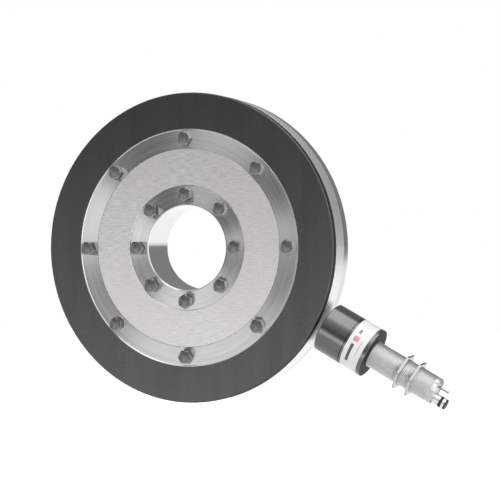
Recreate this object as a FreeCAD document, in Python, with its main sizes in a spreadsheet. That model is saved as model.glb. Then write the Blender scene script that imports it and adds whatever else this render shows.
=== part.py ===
import FreeCAD, Part
import Sketcher
import math
import os

# Torque sensor: a steel torsion disc that turns with a shaft, and a fixed radio pickup at its rim.
# The disc turns about Y and faces -Y. The origin is on its axis, in the middle of the rim.
# The pickup points at the origin, in the plane of the disc, with its tube down to the right.

doc = FreeCAD.newDocument("torque_sensor")
sheet = doc.addObject("Spreadsheet::Sheet", "Sizes")

# Driving dimensions in millimetres and degrees.
SIZES = [
    # rim and rings; depths are counted from the front of the steel lip
    ("disc_radius", 155.0),
    ("drawn_disc_radius", 155.0),
    ("lip_proud", 0.6),
    ("rim_thickness", 45.5),
    ("front_ring_thickness", 8.0),
    ("front_ring_chamfer", 1.2),
    ("rear_ring_width", 14.5),
    ("rear_ring_inset", 0.4),
    ("rear_ring_chamfer", 1.0),
    ("band_chamfer", 0.4),
    ("front_ring_width", 36.0),
    ("lip_width", 1.0),
    ("lip_chamfer", 0.4),
    ("neck_step", 3.0),
    ("fit_gap", 0.1),
    # seat of the outer bolts, cover plates and hub
    ("flange_face_depth", 0.6),
    ("flange_face_width", 19.7),
    ("hub_face_depth", 1.2),
    ("cover_thickness", 3.0),
    ("cover_chamfer", 0.3),
    ("bore_radius", 42.5),
    ("bore_chamfer", 1.2),
    ("hub_face_width", 20.0),
    ("inner_seat_width", 4.5),
    ("outer_seat_width", 4.3),
    ("hub_stand_out", 2.8),
    ("hub_step", 3.0),
    # torsion web and its two chambers
    ("web_depth", 18.6),
    ("web_thickness", 9.0),
    ("web_fillet", 3.0),
    ("rear_ledge_width", 3.0),
    ("seal_cord", 1.5),
    ("seal_groove_width", 1.7),
    # electronics pocket behind the front ring
    ("pocket_wall", 5.0),
    ("rim_wall", 9.0),
    ("pocket_step", 2.0),
    ("spigot_width", 2.5),
    ("spigot_height", 2.0),
    ("board_thickness", 1.6),
    ("board_margin", 1.0),
    ("chip_height", 2.4),
    ("coil_wall", 3.5),
    ("coil_groove_width", 5.0),
    ("coil_groove_depth", 6.0),
    ("coil_margin", 0.3),
    # strain gauges and their leads
    ("gauge_length", 14.0),
    ("gauge_share", 0.36),
    ("gauge_thickness", 0.3),
    ("lead_radius", 0.8),
    ("lead_hole_radius", 1.5),
    ("lead_lift", 1.2),
    ("lead_overlap", 4.0),
    # hexagon bolts
    ("outer_bolt_inset", 10.0),
    ("inner_bolt_inset", 11.0),
    ("bolt_flats", 13.0),
    ("bolt_head_height", 6.5),
    ("bolt_face_radius", 6.1),
    ("bolt_radius", 4.0),
    ("bolt_thread_radius", 3.6),
    ("bolt_hole_gap", 0.3),
    ("bolt_reach", 13.0),
    ("bolt_end_chamfer", 0.8),
    # socket screws of the two rings
    ("rear_screw_inset", 18.0),
    ("rear_screw_radius", 2.5),
    ("rear_screw_head_radius", 4.25),
    ("rear_screw_head_height", 5.0),
    ("rear_screw_sink", 0.6),
    ("rear_screw_grip", 8.0),
    ("rear_screw_key", 4.0),
    ("front_screw_inset", 4.5),
    ("front_screw_radius", 1.5),
    ("front_screw_head_radius", 2.75),
    ("front_screw_head_height", 3.0),
    ("front_screw_sink", 0.3),
    ("front_screw_grip", 4.5),
    ("front_screw_key", 2.5),
    ("screw_key_depth", 1.5),
    # pickup, with distances along its own axis
    ("pickup_angle", 29.0),
    ("air_gap", 6.1),
    ("cap_radius", 25.0),
    ("cap_length", 27.4),
    ("cap_wall", 2.5),
    ("cap_face", 2.2),
    ("cap_edge", 0.8),
    ("seam_width", 0.7),
    ("lock_ring_width", 2.0),
    ("label_length", 17.8),
    ("label_thickness", 0.7),
    ("flange_thickness", 4.3),
    ("flange_edge", 0.6),
    ("housing_wall", 3.4),
    ("housing_floor", 7.0),
    ("core_height", 10.0),
    ("core_slot_inner", 9.0),
    ("core_slot_outer", 17.0),
    ("core_slot_depth", 7.0),
    ("bobbin_wall", 1.0),
    ("winding_margin", 0.3),
    ("board_step_depth", 18.7),
    ("board_step_width", 2.0),
    # threaded barrel, its nuts and the connector in its end
    ("barrel_radius", 13.5),
    ("barrel_length", 71.4),
    ("barrel_wall", 3.5),
    ("barrel_collar_gap", 0.5),
    ("barrel_collar_width", 3.5),
    ("relief_cut", 0.8),
    ("relief_width", 1.0),
    ("nose_step", 0.3),
    ("nose_length", 4.3),
    ("nose_chamfer", 0.4),
    ("socket_wall", 1.5),
    ("socket_depth", 14.6),
    ("notch_width", 8.6),
    ("notch_depth", 4.7),
    ("notch_angle", 26.0),
    ("nut_meat", 7.0),
    ("nut_face_step", 0.4),
    ("nut_corner_cut", 0.38),
    ("nut_corner_depth", 0.35),
    ("nut_thickness", 2.8),
    ("nut_clearance", 0.05),
    ("front_nut_place", 32.4),
    ("rear_nut_place", 46.1),
    ("insert_recess", 1.4),
    ("insert_gap", 0.1),
    ("pin_radius", 1.3),
    ("pin_rounding", 0.8),
    ("pin_reach", 10.5),
    ("short_pin_reach", 1.8),
    ("short_pin_root", 8.0),
    ("pin_tail", 3.0),
    ("nose_plug_radius", 5.3),
    ("nose_plug_rim", 0.3),
    ("nose_plug_collar", 6.6),
    ("nose_plug_root", 7.0),
    ("nose_plug_neck_radius", 4.0),
    ("nose_seal_width", 3.0),
    ("nose_band_width", 2.5),
    ("nose_tip_length", 1.8),
    ("nose_tip_chamfer", 0.8),
    ("nose_tip_stem_radius", 2.0),
    ("nose_tip_stem_length", 2.5),
]

for row, (alias, number) in enumerate(SIZES, start=1):
    sheet.set("A%d" % row, alias)
    sheet.set("B%d" % row, str(number))
    sheet.setAlias("B%d" % row, alias)
doc.recompute()
sums = doc.addObject("Spreadsheet::Sheet", "Sums")

SUM_CELL = "A1"
BOLT_COUNT = 8
SCREW_COUNT = 8
LEAD_COUNT = 4
# Turn of each bolt's corners in degrees, clockwise from the right.
OUTER_BOLT_TURNS = (-14, 0, 0, 30, -10, 0, 0, 0)
INNER_BOLT_TURNS = (30, -20, 30, 0, 0, 30, 30, 0)
# Contacts of the connector: across and up as shares of the insert's radius.
LONG_CONTACT = (0.0, 0.42)
SHORT_CONTACTS = ((0.25, 0.82), (-0.25, 0.82))
SIDES = 6
FULL_TURN = 360.0
PARTS_FOLDER = "parts"

# Soldered parts of the rotor's board: turn in degrees, length and width as shares of the pocket's width.
ROTOR_CHIPS = (
    (0, 0.55, 0.45), (30, 0.27, 0.27), (75, 0.36, 0.23), (120, 0.45, 0.36), (160, 0.23, 0.23),
    (205, 0.55, 0.27), (250, 0.32, 0.32), (290, 0.41, 0.27), (330, 0.23, 0.36),
)
# Soldered parts of the pickup's board: middle across and up, width and height as shares of its radius.
PICKUP_CHIPS = (
    (-0.37, 0.11, 0.42, 0.32), (0.21, 0.26, 0.26, 0.26), (0.16, -0.37, 0.37, 0.26), (-0.32, -0.42, 0.21, 0.32),
)

nodes = []


def size(alias):
    return float(sheet.get(alias))


def bound(expression):
    # every word of an expression is a cell of the sheet
    words = []
    for word in expression.split():
        words.append(sheet.Name + "." + word if word[0].isalpha() else word)
    return " ".join(words)


def worked_out(expression):
    # a sheet of its own does the sum, for places and for the first drawing of a sketch
    sums.set(SUM_CELL, "=" + bound(expression))
    sums.recompute()
    return float(sums.get(SUM_CELL))


def bind(thing, prop, expression):
    thing.setExpression(prop, bound(expression))


def keep(thing, node, placement=None):
    thing.Label = node
    if placement is not None:
        thing.Placement = placement
    nodes.append(thing)
    return thing


def origin_plane(body, role):
    for feature in body.Origin.OriginFeatures:
        if feature.Role == role:
            return feature
    raise ValueError(role)


def closed_sketch(body, name, points):
    # one closed outline on the XY plane: each corner is held by two bound distances
    sketch = body.newObject("Sketcher::SketchObject", name)
    sketch.AttachmentSupport = [(origin_plane(body, "XY_Plane"), "")]
    sketch.MapMode = "FlatFace"
    corners = [FreeCAD.Vector(worked_out(across), worked_out(along), 0) for across, along in points]
    count = len(corners)
    for index in range(count):
        sketch.addGeometry(Part.LineSegment(corners[index], corners[(index + 1) % count]), False)
    for index in range(count):
        sketch.addConstraint(Sketcher.Constraint("Coincident", index, 2, (index + 1) % count, 1))
    for index, (across, along) in enumerate(points):
        for kind, expression, value, axis in (
            ("DistanceX", across, corners[index].x, -2),
            ("DistanceY", along, corners[index].y, -1),
        ):
            if expression == "0":
                sketch.addConstraint(Sketcher.Constraint("PointOnObject", index, 1, axis))
            else:
                place = sketch.addConstraint(Sketcher.Constraint(kind, -1, 1, index, 1, value))
                bind(sketch, "Constraints[%d]" % place, expression)
    return sketch


def turned(name, points):
    # a body of revolution about Y from an outline of (radius, depth) corners
    body = doc.addObject("PartDesign::Body", name + "_body")
    sketch = closed_sketch(body, name + "_outline", points)
    revolution = body.newObject("PartDesign::Revolution", name + "_turned")
    revolution.Profile = sketch
    revolution.ReferenceAxis = (sketch, ["V_Axis"])
    revolution.Angle = FULL_TURN
    doc.recompute()
    return body


def drilled(body, name, radius, height, place, direction, count):
    # a round hole, repeated about Y where count is more than one
    hole = body.newObject("PartDesign::SubtractiveCylinder", name)
    bind(hole, "Radius", radius)
    bind(hole, "Height", height)
    hole.Placement = FreeCAD.Placement(place, FreeCAD.Rotation(FreeCAD.Vector(0, 0, 1), direction))
    doc.recompute()
    if count > 1:
        pattern = body.newObject("PartDesign::PolarPattern", name + "_pattern")
        pattern.Originals = [hole]
        pattern.Axis = (origin_plane(body, "Y_Axis"), [""])
        pattern.Angle = FULL_TURN
        pattern.Occurrences = count
        body.Tip = pattern
        doc.recompute()
    return hole


def around(shape, count, first_angle):
    # separate copies of one shape about Y
    copies = []
    for index in range(count):
        copy = shape.copy()
        turn = first_angle + index * FULL_TURN / count
        copy.rotate(FreeCAD.Vector(0, 0, 0), FreeCAD.Vector(0, 1, 0), turn)
        copies.append(copy)
    return Part.makeCompound(copies)


def on_circle(radius, angle, depth):
    turn = math.radians(angle)
    return FreeCAD.Vector(radius * math.cos(turn), depth, -radius * math.sin(turn))


# Radii shared by the rotor's pieces; its wide rings are drawn for drawn_disc_radius.
GROWTH = "disc_radius / drawn_disc_radius"
LIP_RADIUS = "( disc_radius - front_ring_width * " + GROWTH + " )"
NECK_RADIUS = "( " + LIP_RADIUS + " + neck_step )"
COVER_RADIUS = "( " + LIP_RADIUS + " - flange_face_width * " + GROWTH + " )"
BORE_RADIUS = "( bore_radius * " + GROWTH + " )"
COVER_HOLE_RADIUS = "( " + BORE_RADIUS + " + hub_face_width * " + GROWTH + " )"
HUB_RADIUS = "( " + COVER_HOLE_RADIUS + " + inner_seat_width )"
CHAMBER_RADIUS = "( " + COVER_RADIUS + " - outer_seat_width )"
POCKET_INNER = "( " + LIP_RADIUS + " + pocket_wall )"
POCKET_OUTER = "( disc_radius - rim_wall )"
COIL_OUTER = "( disc_radius - coil_wall )"
COIL_INNER = "( " + COIL_OUTER + " - coil_groove_width )"
OUTER_BOLT_PLACE = "( " + LIP_RADIUS + " - outer_bolt_inset * " + GROWTH + " )"
INNER_BOLT_PLACE = "( " + BORE_RADIUS + " + inner_bolt_inset * " + GROWTH + " )"
BOLT_HOLE_RADIUS = "( bolt_radius + bolt_hole_gap )"
REAR_SCREW_PLACE = "( disc_radius - rear_screw_inset * " + GROWTH + " )"
FRONT_SCREW_PLACE = "( disc_radius - front_screw_inset )"

# Depths shared by the rotor's pieces.
RING_FRONT = "lip_proud"
RING_BACK = "lip_proud + front_ring_thickness"
RIM_REAR = "lip_proud + rim_thickness"
SHOULDER = "lip_proud + rim_thickness - rear_ring_width"
LEDGE = "lip_proud + cover_thickness"
REAR_LEDGE = "lip_proud + rim_thickness - cover_thickness"
HUB_REAR = "lip_proud + rim_thickness + hub_stand_out"
WEB_REAR = "web_depth + web_thickness"
POCKET_FLOOR = "web_depth + pocket_step"
FRONT_GROOVE_FLOOR = "lip_proud + cover_thickness + seal_cord"
REAR_GROOVE_FLOOR = "lip_proud + rim_thickness - cover_thickness - seal_cord"

# Middle radii of the four seal grooves.
SEAL_RADII = {
    "front_inner_seal": "( " + COVER_HOLE_RADIUS + " + " + HUB_RADIUS + " ) / 2",
    "front_outer_seal": "( " + CHAMBER_RADIUS + " + " + COVER_RADIUS + " ) / 2",
    "rear_inner_seal": HUB_RADIUS + " + hub_step / 2",
    "rear_outer_seal": CHAMBER_RADIUS + " + rear_ledge_width / 2",
}

ROTOR = FreeCAD.Placement(
    FreeCAD.Vector(0, -size("lip_proud") - size("rim_thickness") / 2, 0), FreeCAD.Rotation()
)


def groove(seal, ledge, floor, outwards):
    # four corners of a seal groove, in the order in which the outline runs
    middle = SEAL_RADII[seal]
    low = middle + " - seal_groove_width / 2"
    high = middle + " + seal_groove_width / 2"
    first, last = (low, high) if outwards else (high, low)
    return [(first, ledge), (first, floor), (last, floor), (last, ledge)]


def measuring_body():
    # hub, torsion web and outer flange, turned from one steel blank
    outline = [
        (BORE_RADIUS + " + bore_chamfer", "hub_face_depth"),
        (COVER_HOLE_RADIUS + " - fit_gap", "hub_face_depth"),
        (COVER_HOLE_RADIUS + " - fit_gap", LEDGE),
        *groove("front_inner_seal", LEDGE, FRONT_GROOVE_FLOOR, True),
        (HUB_RADIUS, LEDGE),
        (HUB_RADIUS, "web_depth - web_fillet"),
        (HUB_RADIUS + " + web_fillet", "web_depth"),
        (CHAMBER_RADIUS + " - web_fillet", "web_depth"),
        (CHAMBER_RADIUS, "web_depth - web_fillet"),
        (CHAMBER_RADIUS, LEDGE),
        *groove("front_outer_seal", LEDGE, FRONT_GROOVE_FLOOR, True),
        (COVER_RADIUS + " + fit_gap", LEDGE),
        (COVER_RADIUS + " + fit_gap", "flange_face_depth"),
        (LIP_RADIUS + " - lip_width - flange_face_depth", "flange_face_depth"),
        (LIP_RADIUS + " - lip_width", "0"),
        (LIP_RADIUS + " - lip_chamfer", "0"),
        (LIP_RADIUS, "lip_chamfer"),
        (LIP_RADIUS, RING_BACK),
        (POCKET_INNER, RING_BACK),
        (POCKET_INNER, POCKET_FLOOR),
        (POCKET_OUTER, POCKET_FLOOR),
        (POCKET_OUTER, RING_BACK),
        ("disc_radius - band_chamfer", RING_BACK),
        ("disc_radius", RING_BACK + " + band_chamfer"),
        ("disc_radius", SHOULDER + " - band_chamfer"),
        ("disc_radius - band_chamfer", SHOULDER),
        (NECK_RADIUS, SHOULDER),
        (NECK_RADIUS, RIM_REAR),
        (CHAMBER_RADIUS + " + rear_ledge_width", RIM_REAR),
        (CHAMBER_RADIUS + " + rear_ledge_width", REAR_LEDGE),
        *groove("rear_outer_seal", REAR_LEDGE, REAR_GROOVE_FLOOR, False),
        (CHAMBER_RADIUS, REAR_LEDGE),
        (CHAMBER_RADIUS, WEB_REAR + " + web_fillet"),
        (CHAMBER_RADIUS + " - web_fillet", WEB_REAR),
        (HUB_RADIUS + " + hub_step + web_fillet", WEB_REAR),
        (HUB_RADIUS + " + hub_step", WEB_REAR + " + web_fillet"),
        (HUB_RADIUS + " + hub_step", REAR_LEDGE),
        *groove("rear_inner_seal", REAR_LEDGE, REAR_GROOVE_FLOOR, False),
        (HUB_RADIUS, REAR_LEDGE),
        (HUB_RADIUS, HUB_REAR + " - bore_chamfer"),
        (HUB_RADIUS + " - bore_chamfer", HUB_REAR),
        (BORE_RADIUS + " + bore_chamfer", HUB_REAR),
        (BORE_RADIUS, HUB_REAR + " - bore_chamfer"),
        (BORE_RADIUS, "hub_face_depth + bore_chamfer"),
    ]
    body = turned("measuring", outline)
    back = FreeCAD.Vector(0, 1, 0)
    through = HUB_REAR
    drilled(body, "outer_bolt_hole", BOLT_HOLE_RADIUS, through,
            on_circle(worked_out(OUTER_BOLT_PLACE), 0, 0), back, BOLT_COUNT)
    drilled(body, "inner_bolt_hole", BOLT_HOLE_RADIUS, through,
            on_circle(worked_out(INNER_BOLT_PLACE), 0, 0), back, BOLT_COUNT)
    half_step = FULL_TURN / SCREW_COUNT / 2
    drilled(body, "rear_screw_hole", "rear_screw_radius + fit_gap", "rear_screw_grip + fit_gap",
            on_circle(worked_out(REAR_SCREW_PLACE), half_step,
                      worked_out(SHOULDER + " - rear_screw_grip - fit_gap")), back, SCREW_COUNT)
    front_radius = worked_out(FRONT_SCREW_PLACE)
    drilled(body, "front_screw_hole", "front_screw_radius + fit_gap", SHOULDER,
            on_circle(front_radius, half_step, 0), back, SCREW_COUNT)
    drilled(body, "front_screw_seat", "front_screw_head_radius + fit_gap", "rear_ring_width",
            on_circle(front_radius, half_step,
                      worked_out(SHOULDER + " - front_screw_head_height - front_screw_sink")),
            back, SCREW_COUNT)
    lead_depth = worked_out("web_depth - gauge_thickness - lead_lift")
    outwards = on_circle(1, half_step, 0)
    drilled(body, "lead_hole", "lead_hole_radius", POCKET_INNER + " - " + CHAMBER_RADIUS + " + 2 * lead_overlap",
            on_circle(worked_out(CHAMBER_RADIUS + " - lead_overlap"), half_step, lead_depth),
            outwards, LEAD_COUNT)
    return keep(body, "measuring_body", ROTOR)


def front_ring():
    # black moulded ring that covers the electronics pocket
    body = turned("front_ring", [
        (LIP_RADIUS + " + fit_gap", RING_FRONT),
        ("disc_radius - front_ring_chamfer", RING_FRONT),
        ("disc_radius", RING_FRONT + " + front_ring_chamfer"),
        ("disc_radius", RING_BACK),
        (POCKET_INNER + " + fit_gap + spigot_width", RING_BACK),
        (POCKET_INNER + " + fit_gap + spigot_width", RING_BACK + " + spigot_height"),
        (POCKET_INNER + " + fit_gap", RING_BACK + " + spigot_height"),
        (POCKET_INNER + " + fit_gap", RING_BACK),
        (LIP_RADIUS + " + fit_gap", RING_BACK),
    ])
    half_step = FULL_TURN / SCREW_COUNT / 2
    drilled(body, "front_ring_screw_hole", "front_screw_radius + fit_gap", "front_screw_grip + fit_gap",
            on_circle(worked_out(FRONT_SCREW_PLACE), half_step,
                      worked_out(RING_BACK + " - front_screw_grip - fit_gap")),
            FreeCAD.Vector(0, 1, 0), SCREW_COUNT)
    return keep(body, "front_ring", ROTOR)


def rear_ring():
    # grey ring that carries the rotor's coil in a groove against the steel shoulder
    body = turned("rear_ring", [
        (NECK_RADIUS + " + fit_gap", SHOULDER),
        (COIL_INNER, SHOULDER),
        (COIL_INNER, SHOULDER + " + coil_groove_depth"),
        (COIL_OUTER, SHOULDER + " + coil_groove_depth"),
        (COIL_OUTER, SHOULDER),
        ("disc_radius - rear_ring_inset", SHOULDER),
        ("disc_radius - rear_ring_inset", RIM_REAR + " - rear_ring_chamfer"),
        ("disc_radius - rear_ring_inset - rear_ring_chamfer", RIM_REAR),
        (NECK_RADIUS + " + fit_gap", RIM_REAR),
    ])
    half_step = FULL_TURN / SCREW_COUNT / 2
    back = FreeCAD.Vector(0, 1, 0)
    radius = worked_out(REAR_SCREW_PLACE)
    drilled(body, "rear_ring_hole", "rear_screw_radius + fit_gap", RIM_REAR,
            on_circle(radius, half_step, 0), back, SCREW_COUNT)
    drilled(body, "rear_ring_seat", "rear_screw_head_radius + fit_gap", "rear_ring_width",
            on_circle(radius, half_step,
                      worked_out(RIM_REAR + " - rear_screw_head_height - rear_screw_sink")),
            back, SCREW_COUNT)
    return keep(body, "rear_ring", ROTOR)


def cover_plates():
    # flat plates that close the gauge chamber at the front and at the rear
    front = turned("front_cover", [
        (COVER_HOLE_RADIUS, LEDGE),
        (COVER_RADIUS, LEDGE),
        (COVER_RADIUS, RING_FRONT + " + cover_chamfer"),
        (COVER_RADIUS + " - cover_chamfer", RING_FRONT),
        (COVER_HOLE_RADIUS + " + cover_chamfer", RING_FRONT),
        (COVER_HOLE_RADIUS, RING_FRONT + " + cover_chamfer"),
    ])
    keep(front, "front_cover", ROTOR)
    rear = turned("rear_cover", [
        (HUB_RADIUS + " + fit_gap", REAR_LEDGE),
        (CHAMBER_RADIUS + " + rear_ledge_width - fit_gap", REAR_LEDGE),
        (CHAMBER_RADIUS + " + rear_ledge_width - fit_gap", RIM_REAR),
        (HUB_RADIUS + " + fit_gap", RIM_REAR),
    ])
    keep(rear, "rear_cover", ROTOR)


def seals():
    # round cords in the four ledge grooves
    for name, middle in SEAL_RADII.items():
        ring = doc.addObject("Part::Torus", name + "_ring")
        bind(ring, "Radius1", middle)
        bind(ring, "Radius2", "seal_cord / 2")
        ledge = LEDGE + " + seal_cord / 2" if name.startswith("front") else REAR_LEDGE + " - seal_cord / 2"
        turn = FreeCAD.Rotation(FreeCAD.Vector(1, 0, 0), -90)
        place = FreeCAD.Vector(0, worked_out(ledge), 0)
        keep(ring, name, ROTOR.multiply(FreeCAD.Placement(place, turn)))


def ring_of(name, inner, outer, front, back):
    return turned(name, [(inner, front), (outer, front), (outer, back), (inner, back)])


def electronics():
    # ring board on the pocket's floor, the parts soldered to it, and the rotor's coil
    board_front = POCKET_FLOOR + " - board_thickness"
    board = ring_of("telemetry_board", POCKET_INNER + " + board_margin",
                    POCKET_OUTER + " - board_margin", board_front, POCKET_FLOOR)
    keep(board, "telemetry_board", ROTOR)
    middle = worked_out("( " + POCKET_INNER + " + " + POCKET_OUTER + " ) / 2")
    unit = worked_out(POCKET_OUTER + " - " + POCKET_INNER)
    chips = []
    for turn, long, wide in ROTOR_CHIPS:
        long = long * unit
        wide = wide * unit
        chip = Part.makeBox(wide, size("chip_height"), long)
        depth = worked_out(board_front + " - chip_height")
        chip.translate(FreeCAD.Vector(middle - wide / 2, depth, -long / 2))
        chip.rotate(FreeCAD.Vector(0, 0, 0), FreeCAD.Vector(0, 1, 0), turn)
        chips.append(chip)
    parts = doc.addObject("Part::Feature", "chips")
    parts.Shape = Part.makeCompound(chips)
    keep(parts, "board_components", ROTOR)
    coil = ring_of("rotor_coil", COIL_INNER + " + coil_margin", COIL_OUTER + " - coil_margin",
                   SHOULDER, SHOULDER + " + coil_groove_depth - coil_margin")
    keep(coil, "rotor_coil", ROTOR)


def strain_gauges():
    # four foil gauges on the front of the web, and the leads to the board
    half_step = FULL_TURN / SCREW_COUNT / 2
    middle = worked_out("( " + HUB_RADIUS + " + " + CHAMBER_RADIUS + " ) / 2")
    room = worked_out(CHAMBER_RADIUS + " - " + HUB_RADIUS + " - 2 * web_fillet")
    width = room * size("gauge_share")
    gauge = Part.makeBox(width, size("gauge_thickness"), size("gauge_length"))
    depth = size("web_depth") - size("gauge_thickness")
    gauge.translate(FreeCAD.Vector(middle - width / 2, depth, -size("gauge_length") / 2))
    gauges = doc.addObject("Part::Feature", "gauges")
    gauges.Shape = around(gauge, LEAD_COUNT, half_step)
    keep(gauges, "strain_gauges", ROTOR)
    reach = worked_out(POCKET_INNER + " + lead_overlap") - middle
    lead = Part.makeCylinder(size("lead_radius"), reach,
                             FreeCAD.Vector(middle, depth - size("lead_lift"), 0), FreeCAD.Vector(1, 0, 0))
    leads = doc.addObject("Part::Feature", "leads")
    leads.Shape = around(lead, LEAD_COUNT, half_step)
    keep(leads, "gauge_leads", ROTOR)


def hexagon_bolt(name, grip):
    # head from a hexagon and the cone that rounds its corners, then the shank through the disc
    # and, behind it, the thread as a plain rod of its mean radius
    prism = doc.addObject("Part::Prism", name + "_hexagon")
    prism.Polygon = SIDES
    bind(prism, "Circumradius", "bolt_flats / 3 ^ 0.5")
    bind(prism, "Height", "bolt_head_height")
    cone = doc.addObject("Part::Cone", name + "_corner_cone")
    bind(cone, "Radius1", "bolt_face_radius + bolt_head_height * 3 ^ 0.5")
    bind(cone, "Radius2", "bolt_face_radius")
    bind(cone, "Height", "bolt_head_height")
    head = doc.addObject("Part::Common", name + "_head")
    head.Base = prism
    head.Tool = cone
    rod = doc.addObject("Part::Cylinder", name + "_shank")
    bind(rod, "Radius", "bolt_radius")
    bind(rod, "Height", grip)
    thread = doc.addObject("Part::Cylinder", name + "_thread")
    bind(thread, "Radius", "bolt_thread_radius")
    bind(thread, "Height", "bolt_reach - bolt_end_chamfer")
    end = doc.addObject("Part::Cone", name + "_end")
    bind(end, "Radius1", "bolt_thread_radius - bolt_end_chamfer")
    bind(end, "Radius2", "bolt_thread_radius")
    bind(end, "Height", "bolt_end_chamfer")
    doc.recompute()
    rod.Placement.Base = FreeCAD.Vector(0, 0, -worked_out(grip))
    thread.Placement.Base = FreeCAD.Vector(0, 0, -worked_out(grip + " + bolt_reach - bolt_end_chamfer"))
    end.Placement.Base = FreeCAD.Vector(0, 0, -worked_out(grip + " + bolt_reach"))
    bolt = doc.addObject("Part::MultiFuse", name)
    bolt.Shapes = [head, rod, thread, end]
    doc.recompute()
    return bolt.Shape.copy()


def bolts():
    # the head faces -Y, and the shank ends behind the flange it is screwed to
    for name, circle, seat, rear, turns in (
        ("outer_bolts", OUTER_BOLT_PLACE, "flange_face_depth", RIM_REAR, OUTER_BOLT_TURNS),
        ("inner_bolts", INNER_BOLT_PLACE, "hub_face_depth", HUB_REAR, INNER_BOLT_TURNS),
    ):
        bolt = hexagon_bolt(name + "_one", rear + " - ( " + seat + " )")
        bolt.rotate(FreeCAD.Vector(0, 0, 0), FreeCAD.Vector(1, 0, 0), 90)
        bolt.translate(FreeCAD.Vector(0, worked_out(seat), 0))
        copies = []
        for index in range(BOLT_COUNT):
            place = on_circle(worked_out(circle), index * FULL_TURN / BOLT_COUNT, 0)
            copy = bolt.copy()
            copy.rotate(FreeCAD.Vector(0, 0, 0), FreeCAD.Vector(0, 1, 0), -turns[index])
            copy.translate(place)
            copies.append(copy)
        group = doc.addObject("Part::Feature", name + "_group")
        group.Shape = Part.makeCompound(copies)
        keep(group, name, ROTOR)


def socket_screw(name, radius, length, head_radius, head_height, key):
    # a cylinder head with a hexagon socket; the screw runs towards -Y from its seat at zero
    body = doc.addObject("PartDesign::Body", name + "_body")
    sketch = closed_sketch(body, name + "_outline", [
        ("0", "0"),
        (radius, "0"),
        (radius, length),
        (head_radius, length),
        (head_radius, length + " + " + head_height),
        ("0", length + " + " + head_height),
    ])
    revolution = body.newObject("PartDesign::Revolution", name + "_turned")
    revolution.Profile = sketch
    revolution.ReferenceAxis = (sketch, ["V_Axis"])
    revolution.Angle = FULL_TURN
    doc.recompute()
    socket = body.newObject("PartDesign::SubtractivePrism", name + "_socket")
    socket.Polygon = SIDES
    bind(socket, "Circumradius", key + " / 3 ^ 0.5")
    bind(socket, "Height", "screw_key_depth")
    top = worked_out(length + " + " + head_height)
    socket.Placement = FreeCAD.Placement(
        FreeCAD.Vector(0, top, 0), FreeCAD.Rotation(FreeCAD.Vector(1, 0, 0), 90))
    doc.recompute()
    return body.Shape.copy()


def ring_screws():
    half_step = FULL_TURN / SCREW_COUNT / 2
    rear_length = "rear_screw_grip + rear_ring_width - rear_screw_head_height - rear_screw_sink"
    front_length = ("front_screw_grip + " + SHOULDER + " - front_screw_head_height - front_screw_sink"
                    + " - ( " + RING_BACK + " )")
    for node, circle, radius, length, head_radius, head_height, key, tip in (
        ("rear_ring_screws", REAR_SCREW_PLACE, "rear_screw_radius", rear_length,
         "rear_screw_head_radius", "rear_screw_head_height", "rear_screw_key",
         SHOULDER + " - rear_screw_grip"),
        ("front_ring_screws", FRONT_SCREW_PLACE, "front_screw_radius", front_length,
         "front_screw_head_radius", "front_screw_head_height", "front_screw_key",
         RING_BACK + " - front_screw_grip"),
    ):
        screw = socket_screw(node + "_one", radius, length, head_radius, head_height, key)
        screw.translate(FreeCAD.Vector(worked_out(circle), worked_out(tip), 0))
        group = doc.addObject("Part::Feature", node + "_group")
        group.Shape = around(screw, SCREW_COUNT, half_step)
        keep(group, node, ROTOR)


# Places along the pickup's axis, counted from the disc's axis.
CAP_FRONT = "disc_radius + air_gap"
CAP_BACK = CAP_FRONT + " + cap_length"
LOCK_FRONT = CAP_BACK + " + seam_width"
LABEL_FRONT = LOCK_FRONT + " + lock_ring_width"
FLANGE_FRONT = LABEL_FRONT + " + label_length"
FLANGE_BACK = FLANGE_FRONT + " + flange_thickness"
CORE_FRONT = CAP_FRONT + " + cap_face"
CORE_BACK = CORE_FRONT + " + core_height"
FLOOR_FRONT = FLANGE_BACK + " - housing_floor"
BOARD_STEP = CORE_BACK + " + board_step_depth"
BARREL_END = FLANGE_BACK + " + barrel_length"
NOSE_FRONT = BARREL_END + " - nose_length"
SOCKET_FLOOR = BARREL_END + " - socket_depth"
INSERT_FACE = BARREL_END + " - insert_recess"

# Radii of the pickup that follow from others.
HOUSING_BORE = "( cap_radius - cap_wall - fit_gap - housing_wall )"
BARREL_COLLAR_RADIUS = "( " + HOUSING_BORE + " - board_step_width - barrel_collar_gap )"
BARREL_BORE_RADIUS = "( barrel_radius - barrel_wall )"
RELIEF_RADIUS = "( barrel_radius - relief_cut )"
NOSE_RADIUS = "( barrel_radius - nose_step )"
SOCKET_RADIUS = "( barrel_radius - socket_wall )"
NUT_FLATS = "( 2 * barrel_radius + nut_meat )"
NUT_FACE_RADIUS = "( " + NUT_FLATS + " / 2 - nut_face_step )"
NUT_CORNER_RADIUS = "( " + NUT_FLATS + " / 3 ^ 0.5 - nut_corner_cut )"
NOSE_PLUG_OFFSET = "( " + SOCKET_RADIUS + " - nose_plug_radius - nose_plug_rim )"

angle = math.radians(size("pickup_angle"))
along = FreeCAD.Vector(math.cos(angle), 0, -math.sin(angle))
towards_viewer = FreeCAD.Vector(0, -1, 0)
upwards = towards_viewer.cross(along)
PICKUP = FreeCAD.Placement(
    FreeCAD.Vector(0, 0, 0), FreeCAD.Rotation(towards_viewer, along, upwards, "XYZ"))


def sensing_cap():
    # black cup over the core, open towards the housing
    inner = "cap_radius - cap_wall"
    body = turned("sensing_cap", [
        ("0", CAP_FRONT),
        ("cap_radius - cap_edge", CAP_FRONT),
        ("cap_radius", CAP_FRONT + " + cap_edge"),
        ("cap_radius", CAP_BACK),
        (inner, CAP_BACK),
        (inner, CORE_FRONT),
        ("0", CORE_FRONT),
    ])
    keep(body, "sensing_cap", PICKUP)


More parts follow.
